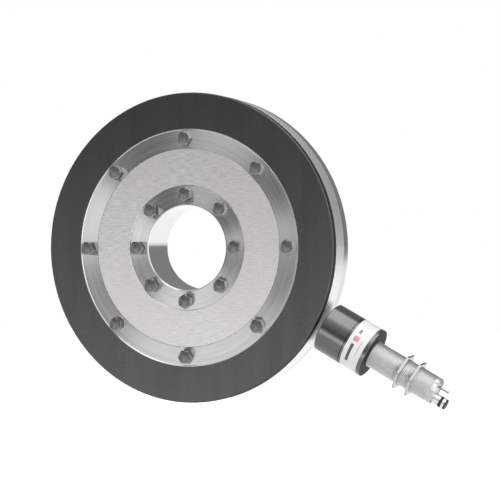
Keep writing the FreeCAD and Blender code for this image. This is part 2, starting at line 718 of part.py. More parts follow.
def core_and_coil():
    # pot core with its slot towards the disc, the spool in the slot and the winding on the spool
    core_radius = "cap_radius - cap_wall - fit_gap"
    core = turned("core", [
        ("0", CORE_FRONT),
        ("core_slot_inner", CORE_FRONT),
        ("core_slot_inner", CORE_FRONT + " + core_slot_depth"),
        ("core_slot_outer", CORE_FRONT + " + core_slot_depth"),
        ("core_slot_outer", CORE_FRONT),
        (core_radius, CORE_FRONT),
        (core_radius, CORE_BACK),
        ("0", CORE_BACK),
    ])
    keep(core, "ferrite_core", PICKUP)
    slot_floor = CORE_FRONT + " + core_slot_depth"
    inner = "core_slot_inner + fit_gap"
    outer = "core_slot_outer - fit_gap"
    spool = turned("spool", [
        (inner, CORE_FRONT),
        (outer, CORE_FRONT),
        (outer, CORE_FRONT + " + bobbin_wall"),
        (inner + " + bobbin_wall", CORE_FRONT + " + bobbin_wall"),
        (inner + " + bobbin_wall", slot_floor + " - bobbin_wall"),
        (outer, slot_floor + " - bobbin_wall"),
        (outer, slot_floor),
        (inner, slot_floor),
    ])
    keep(spool, "coil_bobbin", PICKUP)
    winding = ring_of("winding", inner + " + bobbin_wall + fit_gap", outer + " - winding_margin",
                      CORE_FRONT + " + bobbin_wall + fit_gap", slot_floor + " - bobbin_wall - fit_gap")
    keep(winding, "pickup_winding", PICKUP)


def housing():
    # turned housing: sleeve inside the cap, seat of the label, and the rear flange
    sleeve = "cap_radius - cap_wall - fit_gap"
    bore = HOUSING_BORE
    body = turned("housing", [
        (bore, CORE_BACK),
        (sleeve, CORE_BACK),
        (sleeve, LABEL_FRONT),
        ("cap_radius - label_thickness", LABEL_FRONT),
        ("cap_radius - label_thickness", FLANGE_FRONT),
        ("cap_radius", FLANGE_FRONT),
        ("cap_radius", FLANGE_BACK + " - flange_edge"),
        ("cap_radius - flange_edge", FLANGE_BACK),
        ("barrel_radius + fit_gap", FLANGE_BACK),
        ("barrel_radius + fit_gap", FLOOR_FRONT),
        (bore + " - board_step_width", FLOOR_FRONT),
        (bore + " - board_step_width", BOARD_STEP),
        (bore, BOARD_STEP),
    ])
    keep(body, "pickup_housing", PICKUP)
    ring = ring_of("lock", sleeve + " + fit_gap", "cap_radius", LOCK_FRONT, LABEL_FRONT)
    keep(ring, "lock_ring", PICKUP)
    label = ring_of("label", "cap_radius - label_thickness", "cap_radius", LABEL_FRONT, FLANGE_FRONT)
    keep(label, "label_sleeve", PICKUP)
    board = turned("pickup_board", [
        ("0", BOARD_STEP + " - board_thickness"),
        (bore + " - fit_gap", BOARD_STEP + " - board_thickness"),
        (bore + " - fit_gap", BOARD_STEP),
        ("0", BOARD_STEP),
    ])
    keep(board, "pickup_board", PICKUP)
    chips = []
    top = worked_out(BOARD_STEP + " - board_thickness - chip_height")
    unit = worked_out(HOUSING_BORE)
    for chip in PICKUP_CHIPS:
        across, up, wide, high = [share * unit for share in chip]
        chips.append(Part.makeBox(wide, size("chip_height"), high,
                                  FreeCAD.Vector(across - wide / 2, top, up - high / 2)))
    parts = doc.addObject("Part::Feature", "pickup_chips")
    parts.Shape = Part.makeCompound(chips)
    keep(parts, "pickup_components", PICKUP)


def threaded_barrel():
    # tube with an inner collar against the housing's floor, and a notched nose at its free end
    body = turned("barrel", [
        (BARREL_BORE_RADIUS, FLOOR_FRONT + " - barrel_collar_width"),
        (BARREL_COLLAR_RADIUS, FLOOR_FRONT + " - barrel_collar_width"),
        (BARREL_COLLAR_RADIUS, FLOOR_FRONT),
        ("barrel_radius", FLOOR_FRONT),
        ("barrel_radius", NOSE_FRONT + " - relief_width"),
        (RELIEF_RADIUS, NOSE_FRONT + " - relief_width"),
        (RELIEF_RADIUS, NOSE_FRONT),
        (NOSE_RADIUS, NOSE_FRONT),
        (NOSE_RADIUS, BARREL_END + " - nose_chamfer"),
        (NOSE_RADIUS + " - nose_chamfer", BARREL_END),
        (SOCKET_RADIUS, BARREL_END),
        (SOCKET_RADIUS, SOCKET_FLOOR),
        (BARREL_BORE_RADIUS, SOCKET_FLOOR),
    ])
    notch = body.newObject("PartDesign::SubtractiveBox", "notch")
    bind(notch, "Length", "barrel_radius")
    bind(notch, "Width", "notch_depth + notch_depth")
    bind(notch, "Height", "notch_width")
    turn = FreeCAD.Rotation(FreeCAD.Vector(0, 1, 0), -size("notch_angle"))
    corner = FreeCAD.Vector(0, worked_out(BARREL_END + " - notch_depth"), -size("notch_width") / 2)
    notch.Placement = FreeCAD.Placement(turn.multVec(corner), turn)
    doc.recompute()
    keep(body, "threaded_barrel", PICKUP)


def jam_nuts():
    # thin hexagon nuts, chamfered on both faces, one each side of the user's bracket
    bore = "barrel_radius + nut_clearance"
    for node, place in (("front_jam_nut", "front_nut_place"), ("rear_jam_nut", "rear_nut_place")):
        blank = turned(node + "_blank", [
            (bore, "0"),
            (NUT_FACE_RADIUS, "0"),
            (NUT_CORNER_RADIUS, "nut_corner_depth"),
            (NUT_CORNER_RADIUS, "nut_thickness - nut_corner_depth"),
            (NUT_FACE_RADIUS, "nut_thickness"),
            (bore, "nut_thickness"),
        ])
        hexagon = doc.addObject("Part::Prism", node + "_hexagon")
        hexagon.Polygon = SIDES
        bind(hexagon, "Circumradius", NUT_FLATS + " / 3 ^ 0.5")
        bind(hexagon, "Height", "nut_thickness")
        hexagon.Placement = FreeCAD.Placement(
            FreeCAD.Vector(0, 0, 0), FreeCAD.Rotation(FreeCAD.Vector(1, 0, 0), -90))
        nut = doc.addObject("Part::Common", node + "_common")
        nut.Base = blank
        nut.Tool = hexagon
        at = FreeCAD.Vector(0, worked_out(FLANGE_BACK + " + " + place), 0)
        keep(nut, node, PICKUP.multiply(FreeCAD.Placement(at, FreeCAD.Rotation())))


def contact_places():
    # one long contact through the insert and two short ones moulded into its face above it:
    # across, up, start, length inside the barrel and reach beyond its end
    radius = worked_out(SOCKET_RADIUS + " - insert_gap")
    through = (SOCKET_FLOOR + " - pin_tail", "socket_depth + pin_tail", "pin_reach")
    moulded = (INSERT_FACE + " - short_pin_root", "short_pin_root + insert_recess", "short_pin_reach")
    places = [(LONG_CONTACT, through)]
    places += [(place, moulded) for place in SHORT_CONTACTS]
    return [(across * radius, up * radius, worked_out(start), inside, reach)
            for (across, up), (start, inside, reach) in places]


def connector():
    # pale insert with its contacts, and the sealed plug nose below them
    insert = turned("insert", [
        ("0", SOCKET_FLOOR),
        (SOCKET_RADIUS + " - insert_gap", SOCKET_FLOOR),
        (SOCKET_RADIUS + " - insert_gap", INSERT_FACE),
        ("0", INSERT_FACE),
    ])
    back = FreeCAD.Vector(0, 1, 0)
    places = contact_places()
    for index, (across, up, start, inside, reach) in enumerate(places):
        drilled(insert, "contact_hole_%d" % index, "pin_radius + insert_gap", inside,
                FreeCAD.Vector(across, start, up), back, 1)
    seat = worked_out(INSERT_FACE + " - nose_plug_root")
    drilled(insert, "nose_plug_hole", "nose_plug_radius + insert_gap", "nose_plug_root + pin_tail",
            FreeCAD.Vector(0, seat, -worked_out(NOSE_PLUG_OFFSET)), back, 1)
    keep(insert, "connector_insert", PICKUP)
    pins = []
    for across, up, start, inside, reach in places:
        length = worked_out(inside + " + " + reach)
        pin = Part.makeCylinder(size("pin_radius"), length, FreeCAD.Vector(across, start, up), back)
        tip = [edge for edge in pin.Edges if edge.BoundBox.YMin > start + length - size("fit_gap")]
        pins.append(pin.makeFillet(size("pin_rounding"), tip[:1]))
    contacts = doc.addObject("Part::Feature", "contacts")
    contacts.Shape = Part.makeCompound(pins)
    keep(contacts, "contact_pins", PICKUP)


def nose_plug():
    # metal nose with a seal in its groove and a black tip on its end
    root = INSERT_FACE + " - nose_plug_root"
    seal_front = BARREL_END + " + nose_plug_collar"
    seal_back = seal_front + " + nose_seal_width"
    tip_front = seal_back + " + nose_band_width"
    tip_back = tip_front + " + nose_tip_length"
    below = PICKUP.multiply(FreeCAD.Placement(
        FreeCAD.Vector(0, 0, -worked_out(NOSE_PLUG_OFFSET)), FreeCAD.Rotation()))
    nose = turned("nose", [
        ("0", root),
        ("nose_plug_radius", root),
        ("nose_plug_radius", seal_front),
        ("nose_plug_neck_radius", seal_front),
        ("nose_plug_neck_radius", seal_back),
        ("nose_plug_radius", seal_back),
        ("nose_plug_radius", tip_front),
        ("nose_tip_stem_radius + fit_gap", tip_front),
        ("nose_tip_stem_radius + fit_gap", tip_front + " - nose_tip_stem_length - fit_gap"),
        ("0", tip_front + " - nose_tip_stem_length - fit_gap"),
    ])
    keep(nose, "nose_plug", below)
    seal = ring_of("nose_seal", "nose_plug_neck_radius + fit_gap", "nose_plug_radius + fit_gap",
                   seal_front, seal_back)
    keep(seal, "nose_seal", below)
    tip = turned("nose_tip", [
        ("0", tip_front + " - nose_tip_stem_length"),
        ("nose_tip_stem_radius", tip_front + " - nose_tip_stem_length"),
        ("nose_tip_stem_radius", tip_front),
        ("nose_plug_radius", tip_front),
        ("nose_plug_radius", tip_back + " - nose_tip_chamfer"),
        ("nose_plug_radius - nose_tip_chamfer", tip_back),
        ("0", tip_back),
    ])
    keep(tip, "nose_tip", below)


measuring_body()
front_ring()
rear_ring()
cover_plates()
seals()
electronics()
strain_gauges()
bolts()
ring_screws()
sensing_cap()
core_and_coil()
housing()
threaded_barrel()
jam_nuts()
connector()
nose_plug()
doc.removeObject(sums.Name)
doc.recompute()

for thing in doc.Objects:
    for state in ("Invalid", "Error"):
        if state in thing.State:
            raise RuntimeError("%s is %s" % (thing.Name, state))
for thing in nodes:
    if thing.Shape.isNull() or not thing.Shape.isValid():
        raise RuntimeError("%s has no valid shape" % thing.Label)

os.makedirs(PARTS_FOLDER, exist_ok=True)
for thing in nodes:
    thing.Shape.exportStep(os.path.join(PARTS_FOLDER, thing.Label + ".step"))
    print("%-20s solids %2d  volume %10.1f mm3" % (thing.Label, len(thing.Shape.Solids), thing.Shape.Volume))
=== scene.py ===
import math

import bmesh
import bpy
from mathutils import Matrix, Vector


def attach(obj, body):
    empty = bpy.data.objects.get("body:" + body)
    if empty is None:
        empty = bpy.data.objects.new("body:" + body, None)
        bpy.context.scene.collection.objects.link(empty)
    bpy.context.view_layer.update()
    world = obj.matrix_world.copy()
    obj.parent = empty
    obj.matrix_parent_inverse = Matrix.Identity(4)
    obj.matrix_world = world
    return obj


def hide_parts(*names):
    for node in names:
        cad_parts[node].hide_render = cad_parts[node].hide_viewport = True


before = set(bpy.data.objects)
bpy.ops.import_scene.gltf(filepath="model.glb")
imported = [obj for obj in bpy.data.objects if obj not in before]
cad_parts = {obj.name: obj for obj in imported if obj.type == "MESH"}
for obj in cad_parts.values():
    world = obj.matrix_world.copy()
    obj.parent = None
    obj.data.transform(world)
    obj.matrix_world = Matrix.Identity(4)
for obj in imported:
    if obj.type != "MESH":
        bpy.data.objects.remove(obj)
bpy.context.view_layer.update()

# Torque sensor: a turned steel torsion disc with a black ring, and the pickup at its rim.
# Lengths are in metres in the frame's axes: the disc turns about Y and faces -Y, and Z is up.

# Places and sizes shared with the model.
FLANGE_FACE = -0.02275
HUB_FACE = -0.02215
RIM_REAR = 0.02275
HUB_REAR = 0.02555
BORE_WALL = 0.0425
BORE_EDGE = 0.0437
RIM_START = 0.1195
BOLT_FLATS = 0.013
BOLT_HEAD_HEIGHT = 0.0065
BOLT_FACE_RADIUS = 0.00575
BOLT_RADIUS = 0.004
BOLT_PITCH = 0.00125
BOLT_REACH = 0.013
BOLT_COUNT = 8
# turn of each bolt's corners in degrees; the bolts are counted clockwise from the right
OUTER_BOLT_TURNS = (-14.0, 0.0, 0.0, 30.0, -10.0, 0.0, 0.0, 0.0)
INNER_BOLT_TURNS = (30.0, -20.0, 30.0, 0.0, 0.0, 30.0, 30.0, 0.0)
OUTER_CIRCLE_RADIUS = 0.109
INNER_CIRCLE_RADIUS = 0.0535
PICKUP_ANGLE = math.radians(29.0)
BARREL_RADIUS = 0.0135
BARREL_PITCH = 0.0015
BARREL_BORE_RADIUS = 0.010
BARREL_COLLAR_RADIUS = 0.0165
BARREL_START = 0.2028
COLLAR_END = 0.2063
THREAD_START = 0.2133
THREAD_END = 0.2794
RELIEF_END = 0.2804
RELIEF_RADIUS = 0.0127
NOSE_RADIUS = 0.0132
BARREL_END = 0.2847
SOCKET_RADIUS = 0.012
SOCKET_FLOOR = 0.2701
NOTCH_WIDTH = 0.0086
NOTCH_DEPTH = 0.0047
NOTCH_TURN = math.radians(26.0)
NUT_FLATS = 0.034
NUT_FACE_RADIUS = 0.0166
NUT_THICKNESS = 0.0028
NUT_BORE_RADIUS = 0.01355
NUT_TURN = math.radians(57.0)
FRONT_NUT_PLACE = 0.2457
REAR_NUT_PLACE = 0.2594

FULL_TURN = 2.0 * math.pi
HEXAGON_SIDES = 6
BOLT_CORNER_SLOPE = math.tan(math.radians(30.0))
NUT_CORNER_SLOPE = math.tan(math.radians(7.5))
# chamfers, the washer face under a head, and the threads
BOLT_WASHER = 0.0003
BOLT_WASHER_RADIUS = 0.0062
BOLT_THREAD_HIDDEN = 0.003
BOLT_THREAD_DEPTH = 0.00072
BOLT_END_CHAMFER = 0.0008
BARREL_THREAD_DEPTH = 0.00088
NOSE_CHAMFER = 0.0004
NUT_MOUTH = 0.0004

# Fineness of the meshes, and the angles in degrees above which an edge stays sharp.
MERGE_DISTANCE = 1e-7
BOLT_COLUMNS = 48
BARREL_COLUMNS = 96
NOSE_COLUMNS = 84
NOTCH_COLUMNS = 12
NUT_COLUMNS = 96
BOLT_SMOOTH = 32.0
BARREL_SMOOTH = 62.0
NUT_SMOOTH = 28.0
BOLT_EDGE = 0.00022
NUT_EDGE = 0.00018
EDGE_SEGMENTS = 2
EDGE_ANGLE = math.radians(38.0)
# one turn of a thread: share of the pitch along, share of the depth inwards
THREAD_PROFILE = ((0.0, 0.0), (0.14, 0.0), (0.5, 1.0), (0.64, 1.0))
# turns by which the profile starts early, and by which it is longer than the thread
THREAD_LEAD = 1.5
THREAD_SPARE_TURNS = 3
# place of the flat face's finish in a bolt's list of materials
FACE_FINISH = 1

# All finishes: usual range of a noise, and the width over which one finish changes into another.
NOISE_RANGE = (0.3, 0.7)
EDGE_BLUR = 0.0004
# detail and roughness of the noise in drawn lines, in the cover's grain and in an even grain
LINE_DETAIL = (3.0, 0.6)
COVER_DETAIL = (2.0, 0.6)
GRAIN_DETAIL = (3.0, 0.55)
GRAIN_BUMP = 0.7
GLOSS_SHARES = (0.85, 1.15)
# leaves of a place what lies square to the disc's axis
FLAT = (1.0, 0.0, 1.0)

# Turned steel: its tones, gloss and lines. The scales are noise cells per metre.
STEEL_BASE = dict(colour=0.6, roughness=0.3, metallic=1.0, Anisotropic=0.15, Anisotropic_Rotation=0.25)
STEEL_DARK = (0.54, 0.535, 0.53)
STEEL_LIGHT = (0.69, 0.69, 0.69)
STEEL_GLOSS = (0.22, 0.27)
STEEL_RELIEF = 0.000008
FINE_LINES = 900.0
WIDE_LINES = 160.0
WIDE_SWEEP = 1.6
FINE_SHARE = 0.65
WIDE_SHARE = 0.35
TURNED_TILT = 0.27
RIM_STEEL = (0.86, 0.86, 0.86)
RIM_DULLNESS = 0.16
CHAMFER_STEEL = (0.34, 0.34, 0.34)
BORE_STEEL = (0.75, 0.755, 0.76)
BORE_GLOSS = 0.12

# The cover's grained plate.
COVER_BASE = dict(colour=0.6, roughness=0.42, metallic=1.0, Anisotropic=0.35)
COVER_DARK = (0.51, 0.505, 0.505)
COVER_LIGHT = (0.84, 0.835, 0.835)
COVER_WARM = (0.67, 0.62, 0.62)
COVER_GLOSS = (0.32, 0.44)
COVER_RELIEF = 0.00006
COVER_BUMP = 0.8
COVER_ALONG = 110.0
COVER_ACROSS = 850.0
COVER_GRAIN = 750.0
COVER_CLOUDS = 9.0
LINE_SHARE = 0.55
GRAIN_SHARE = 0.45
LINE_RANGE = (0.34, 0.66)
CLOUD_RANGE = (0.35, 0.65)
CLOUD_SHARE = 0.5

# Dark metal, and where painted shade makes it near-black and matt.
DARK_METALLIC = 0.75
DARK_GRAIN = 2400.0
DARK_RELIEF = 0.00001
DARK_BUMP = 0.25
DARK_GLOSS_SPREAD = 0.04
SHADE_BLACK = (0.03, 0.03, 0.03)
MATT_ROUGHNESS = 0.4
FLANGE_REAR = 0.2128
RING_SIDE = 0.1545
RING_STRETCH = (60.0, 60.0, 9.0)
EVEN_STRETCH = (40.0, 40.0, 40.0)
# painted shade: the black ring's outer side and the housing's rear face behind the flange are coloured
# near-black
DARK_FINISHES = {
    "black_ring": dict(colour=(0.074, 0.073, 0.074), roughness=0.26, stretch=RING_STRETCH, spread=0.08,
                       shade_outside=RING_SIDE),
    "cap_black": dict(colour=(0.155, 0.155, 0.158), roughness=0.16, stretch=EVEN_STRETCH, spread=0.06),
    "housing_grey": dict(colour=(0.16, 0.16, 0.163), roughness=0.22, stretch=EVEN_STRETCH, spread=0.06,
                         shade_from=FLANGE_REAR),
}

# Plain finishes: colour, roughness and what differs from the usual grain.
PLAIN_FINISHES = {
    "bolt_steel": dict(colour=(0.3, 0.3, 0.3), roughness=0.2, metallic=1.0, grain_scale=1500.0, spread=0.1),
    "bolt_face": dict(colour=(0.19, 0.19, 0.19), roughness=0.4, metallic=1.0, grain_scale=1100.0,
                      spread=0.45),
    "barrel_nickel": dict(colour=(0.59, 0.59, 0.595), roughness=0.45, metallic=1.0, spread=0.04,
                          relief=0.0),
    "nut_nickel": dict(colour=(0.62, 0.62, 0.63), roughness=0.3, metallic=1.0, spread=0.04),
    "grey_ring": dict(colour=(0.64, 0.64, 0.65), roughness=0.16, metallic=1.0),
    "screw_steel": dict(colour=(0.22, 0.22, 0.22), roughness=0.3, metallic=1.0),
    "contact_metal": dict(colour=(0.42, 0.42, 0.43), roughness=0.22, metallic=1.0),
    "nose_metal": dict(colour=(0.82, 0.82, 0.83), roughness=0.4, metallic=1.0),
    "gauge_foil": dict(colour=(0.6, 0.35, 0.15), roughness=0.35, metallic=0.8),
    "seal_rubber": dict(colour=(0.02, 0.02, 0.02), roughness=0.6),
    "board_green": dict(colour=(0.02, 0.12, 0.05), roughness=0.4),
    "chip_black": dict(colour=(0.02, 0.02, 0.022), roughness=0.45),
    "lead_white": dict(colour=(0.8, 0.8, 0.78), roughness=0.4),
    "ferrite": dict(colour=(0.06, 0.06, 0.065), roughness=0.5),
    "bobbin_white": dict(colour=(0.8, 0.78, 0.72), roughness=0.4),
    "insert_pale": dict(colour=(0.8, 0.8, 0.79), roughness=0.4),
}
# Which finish each solid of the model wears; the five that are replaced have their own pieces.
WORN = {
    "measuring_body": "turned_steel", "front_ring": "black_ring", "rear_ring": "grey_ring",
    "front_cover": "cover_steel", "rear_cover": "cover_steel", "front_inner_seal": "seal_rubber",
    "front_outer_seal": "seal_rubber", "rear_inner_seal": "seal_rubber", "rear_outer_seal": "seal_rubber",
    "telemetry_board": "board_green", "board_components": "chip_black", "rotor_coil": "coil_copper",
    "strain_gauges": "gauge_foil", "gauge_leads": "lead_white", "rear_ring_screws": "screw_steel",
    "front_ring_screws": "screw_steel", "sensing_cap": "cap_black", "ferrite_core": "ferrite",
    "coil_bobbin": "bobbin_white", "pickup_winding": "coil_copper", "pickup_housing": "housing_grey",
    "lock_ring": "housing_grey", "label_sleeve": "label_white", "pickup_board": "board_green",
    "pickup_components": "chip_black", "connector_insert": "insert_pale", "contact_pins": "contact_metal",
    "nose_plug": "nose_metal", "nose_seal": "seal_rubber", "nose_tip": "chip_black",
}

# Wound copper and the label.
COPPER_BASE = dict(colour=(0.62, 0.26, 0.1), roughness=0.32, metallic=0.9)
COPPER_DARK = (0.5, 0.2, 0.08)
COPPER_LIGHT = (0.72, 0.33, 0.14)
COPPER_TURNS = 12000.0
COPPER_RELIEF = 0.00005
COPPER_BUMP = 0.8
COPPER_CLOUDS = 60.0
LABEL_BASE = dict(colour=0.86, roughness=0.35)
LABEL_DARK = 0.72
LABEL_LIGHT = 0.8
LABEL_GLOSS = (0.28, 0.4)
LABEL_GRAIN = 700.0
FIELD_BLUR = 1.0
# plain fields of the label: front and back along the pickup, low and high turn in degrees, colour
LABEL_FIELDS = (
    (0.1955, 0.1989, -36.0, 9.0, (0.08, 0.08, 0.085)),
    (0.1947, 0.2005, 15.0, 28.0, (0.72, 0.26, 0.3)),
    (0.1959, 0.1989, 35.0, 47.0, (0.22, 0.24, 0.24)),
    (0.2036, 0.2047, -14.0, 23.0, (0.42, 0.42, 0.42)),
)

# The studio: its light in front of the disc and behind it, above and below the horizon.
DEGREES = 180.0 / math.pi
FRONT_HIGH = 1.0
FRONT_LOW = 0.9
BACK_HIGH = 0.25
BACK_LOW = 1.12
# depth of a direction over which front becomes back, and height in degrees over which low becomes high
BEHIND_RANGE = (-0.1, 0.4)
HORIZON_RANGE = (-6.0, -1.0)
# soft panels: left, right, bottom and top in degrees, softness, strength
PANELS = (
    (-30.0, 140.0, 50.0, 86.0, 7.0, 2.6),
    (34.0, 76.0, -60.0, 48.0, 7.0, 1.9),
)
# the wheel of cards stands in the direction that the disc's flat face mirrors to the viewer
WHEEL_TURN = math.radians(24.0)
WHEEL_MIDDLE = (-math.sin(WHEEL_TURN), -math.cos(WHEEL_TURN), 0.0)
WHEEL_ACROSS = (math.cos(WHEEL_TURN), -math.sin(WHEEL_TURN), 0.0)
# radii of the wheel in degrees, how soft its edges are, and the upright change of light inside it
WHEEL_INNER = 18.0
WHEEL_OUTER = 48.0
WHEEL_BLUR = 4.0
MIDDLE_BOTTOM = -9.0
MIDDLE_TOP = 4.0
MIDDLE_LOW = 2.4
MIDDLE_HIGH = 0.05
WHEEL_START = 1.03
# cards counted anticlockwise from the left: where each starts in degrees, softness, strength
WHEEL_CARDS = (
    (-176.0, 5.0, 0.34), (-134.0, 8.0, 0.97), (-48.0, 7.0, 0.58), (-32.0, 5.0, 0.26), (1.0, 4.0, 0.78),
    (18.0, 4.0, 0.13), (52.0, 6.0, 0.66), (98.0, 6.0, 0.16), (148.0, 3.0, 1.14),
)
# floor and camera
FLOOR_HALF = 6.0
FLOOR_HEIGHT = -0.42
FLOOR_COLOUR = 0.9
FLOOR_GLOW = 0.55
LENS = 111.69
CAMERA_PLACE = (0.63784, -1.43422, 0.0)
CAMERA_TURN = (math.radians(90.0), math.radians(0.4), math.radians(24.3))
CAMERA_SHIFT = (0.1267, -0.0046)

# The pickup's own axes: side points to the viewer, along leaves the disc, up is square to both.
SIDE = Vector((0.0, -1.0, 0.0))
ALONG = Vector((math.cos(PICKUP_ANGLE), 0.0, -math.sin(PICKUP_ANGLE)))
UP = SIDE.cross(ALONG)


# Meshes

def new_piece(name, grid):
    mesh = bpy.data.meshes.new(name)
    grid.to_mesh(mesh)
    grid.free()
    piece = bpy.data.objects.new(name, mesh)
    bpy.context.scene.collection.objects.link(piece)
    return piece


def joined_rings(grid, rings, closed=True):
    # quads between neighbouring rings of vertices
    for low, high in zip(rings, rings[1:]):
        count = len(low)
        last = count if closed else count - 1
        for index in range(last):
            after = (index + 1) % count
            grid.faces.new((low[index], low[after], high[after], high[index]))


def tidy_mesh(grid):
    bmesh.ops.remove_doubles(grid, verts=grid.verts, dist=MERGE_DISTANCE)
    bmesh.ops.dissolve_degenerate(grid, edges=grid.edges, dist=MERGE_DISTANCE)
    bmesh.ops.recalc_face_normals(grid, faces=grid.faces)


def smooth_by_angle(grid, degrees):
    # smooth faces with sharp edges where two faces meet at more than that angle
    limit = math.radians(degrees)
    for face in grid.faces:
        face.smooth = True
    for edge in grid.edges:
        if len(edge.link_faces) == 2:
            edge.smooth = edge.calc_face_angle(0.0) < limit


def soften_edges(piece, width):
    # small rounded edges, which catch the light as machined edges do
    bevel = piece.modifiers.new("edges", "BEVEL")
    bevel.width = width
    bevel.segments = EDGE_SEGMENTS
    bevel.limit_method = "ANGLE"
    bevel.angle_limit = EDGE_ANGLE
    bevel.harden_normals = True


def hexagon_radius(angle, flats, corner_turn):
    # distance from the middle to the edge of a hexagon in the direction of an angle
    side = FULL_TURN / HEXAGON_SIDES
    within = (angle - corner_turn) % side - side / 2.0
    return flats / 2.0 / math.cos(within)


def thread_rows(start, end, pitch, radius, depth):
    # corners of the thread's profile along the axis: crest, flank, root, flank
    turns = int(math.ceil((end - start) / pitch)) + THREAD_SPARE_TURNS
    bases = [start + (turn - THREAD_LEAD) * pitch for turn in range(turns)]
    return [(base + along * pitch, radius - inwards * depth)
            for base in bases for along, inwards in THREAD_PROFILE]


def thread_surface(grid, start, end, pitch, radius, depth, columns, place):
    # a helical thread; past both ends every vertex lies on the root circle, and merges there
    rows = thread_rows(start, end, pitch, radius, depth)
    table = []
    for column in range(columns):
        angle = FULL_TURN * column / columns
        line = []
        for along, outwards in rows:
            at = along + pitch * column / columns
            if at <= start or at >= end:
                at = min(max(at, start), end)
                outwards = radius - depth
            line.append(grid.verts.new(place(outwards, angle, at)))
        table.append(line)
    for column in range(columns):
        after = (column + 1) % columns
        shift = len(THREAD_PROFILE) if after == 0 else 0
        for row in range(len(rows) - 1 - shift):
            grid.faces.new((table[column][row], table[column][row + 1],
                            table[after][row + 1 + shift], table[after][row + shift]))


def ring(grid, radius, angles, along, place):
    return [grid.verts.new(place(radius, angle, along)) for angle in angles]


def even_angles(columns):
    return [FULL_TURN * column / columns for column in range(columns)]


# Bolts of the disc

def on_rotor(middle_x, middle_z, seat):
    # a place round a bolt's axis: along is counted from the seat towards the viewer's side
    def place(radius, angle, along):
        across = middle_x + radius * math.cos(angle)
        up = middle_z + radius * math.sin(angle)
        return Vector((across, seat - along, up))
    return place


def hexagon_ring(grid, angles, flats, corner_turn, height, face_radius, slope, place):
    # edge of a hexagon, which falls away towards the corners where the face is chamfered
    made = []
    for angle in angles:
        radius = hexagon_radius(angle, flats, corner_turn)
        fall = max(0.0, radius - face_radius) * slope
        made.append(grid.verts.new(place(radius, angle, height - fall)))
    return made


def bolt(grid, middle_x, middle_z, seat, rear, corner_turn):
    # head, washer face, plain shank and thread; rear is where the bolt leaves the disc
    place = on_rotor(middle_x, middle_z, seat)
    angles = even_angles(BOLT_COLUMNS)
    root_radius = BOLT_RADIUS - BOLT_THREAD_DEPTH
    shank_end = rear + BOLT_THREAD_HIDDEN
    end = rear - BOLT_REACH
    thread_end = end + BOLT_END_CHAMFER
    top = ring(grid, BOLT_FACE_RADIUS, angles, BOLT_HEAD_HEIGHT, place)
    face = grid.faces.new(top)
    face.material_index = FACE_FINISH
    rings = [
        top,
        hexagon_ring(grid, angles, BOLT_FLATS, corner_turn, BOLT_HEAD_HEIGHT, BOLT_FACE_RADIUS,
                     BOLT_CORNER_SLOPE, place),
        hexagon_ring(grid, angles, BOLT_FLATS, corner_turn, BOLT_WASHER, BOLT_FACE_RADIUS, 0.0, place),
        ring(grid, BOLT_WASHER_RADIUS, angles, BOLT_WASHER, place),
        ring(grid, BOLT_WASHER_RADIUS, angles, 0.0, place),
        ring(grid, BOLT_RADIUS, angles, 0.0, place),
        ring(grid, BOLT_RADIUS, angles, shank_end, place),
        ring(grid, root_radius, angles, shank_end, place),
    ]
    joined_rings(grid, rings)
    thread_surface(grid, thread_end, shank_end, BOLT_PITCH, BOLT_RADIUS, BOLT_THREAD_DEPTH,
                   BOLT_COLUMNS, place)
    root = ring(grid, root_radius, angles, thread_end, place)
    tip = ring(grid, root_radius - BOLT_END_CHAMFER / 2.0, angles, end, place)
    joined_rings(grid, [root, tip])
    grid.faces.new(tip)


def bolt_circle(name, node, circle_radius, seat, rear_face, corner_turns):
    # all bolts of one circle as one piece
    grid = bmesh.new()
    for index, corner_turn in enumerate(corner_turns):
        turn = FULL_TURN * index / BOLT_COUNT
        middle_x = circle_radius * math.cos(turn)
        middle_z = -circle_radius * math.sin(turn)
        bolt(grid, middle_x, middle_z, seat, seat - rear_face, math.radians(corner_turn))
    tidy_mesh(grid)
    smooth_by_angle(grid, BOLT_SMOOTH)
    piece = new_piece(name, grid)
    soften_edges(piece, BOLT_EDGE)
    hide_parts(node)
    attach(piece, "rotor")
    return piece


# Threaded barrel and its nuts

def on_pickup(radius, angle, along):
    # a place round the pickup's axis
    return SIDE * (radius * math.cos(angle)) + UP * (radius * math.sin(angle)) + ALONG * along


def notched_angles(radius):
    # columns that end on both flat sides of the notch, whatever the radius
    half = math.asin(NOTCH_WIDTH / 2.0 / radius)
    first = NOTCH_TURN + half
    last = NOTCH_TURN + FULL_TURN - half
    solid = [first + (last - first) * step / NOSE_COLUMNS for step in range(NOSE_COLUMNS)]
    gap = [last + 2.0 * half * step / NOTCH_COLUMNS for step in range(NOTCH_COLUMNS)]
    return solid + gap


def nose_ring(grid, radius, along):
    return ring(grid, radius, notched_angles(radius), along, on_pickup)


